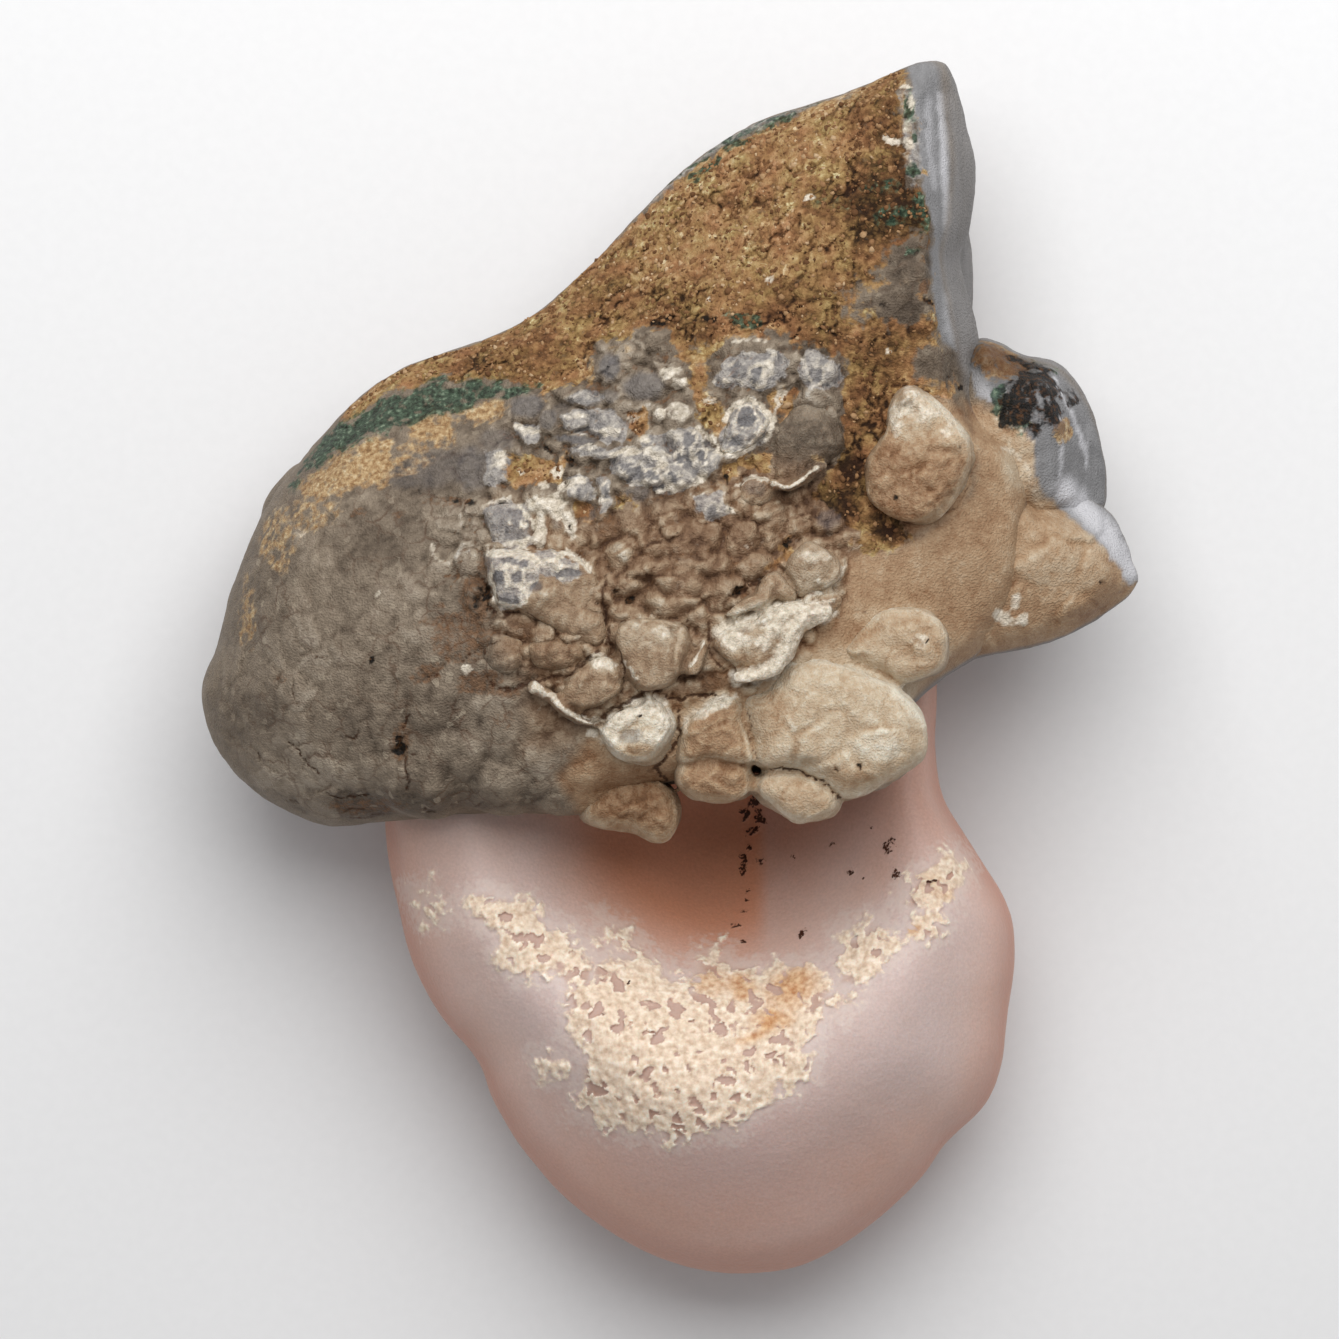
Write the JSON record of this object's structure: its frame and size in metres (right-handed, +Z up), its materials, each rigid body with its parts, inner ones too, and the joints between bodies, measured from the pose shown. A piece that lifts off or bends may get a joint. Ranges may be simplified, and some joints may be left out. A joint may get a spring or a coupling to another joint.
{
  "type": "pink chalcedony specimen",
  "caption": "Loose hand specimen: a knobbly grey, cream and sandy crust of chalcedony with a smooth pink lobe grown out from under it, lying crust up on smooth bulges",
  "frame": {"origin": "centre of the bounding box, at the level of the surface that the specimen rests on", "axes": "+Z up, out of the crust that faces the viewer; +Y along the specimen's length, from the pink lobe to the pointed end of the crust; +X to the right as seen from above"},
  "size_m": [0.0468, 0.0608, 0.0221],
  "materials": {
    "pink_chalcedony": "waxy translucent pink on the lobe, matt grey and cream on the crust, with a sandy brown skin and a whitish porous patch"
  },
  "bodies": {
    "root": {"chalcedony": "pink_chalcedony"}
  },
  "joints": []
}
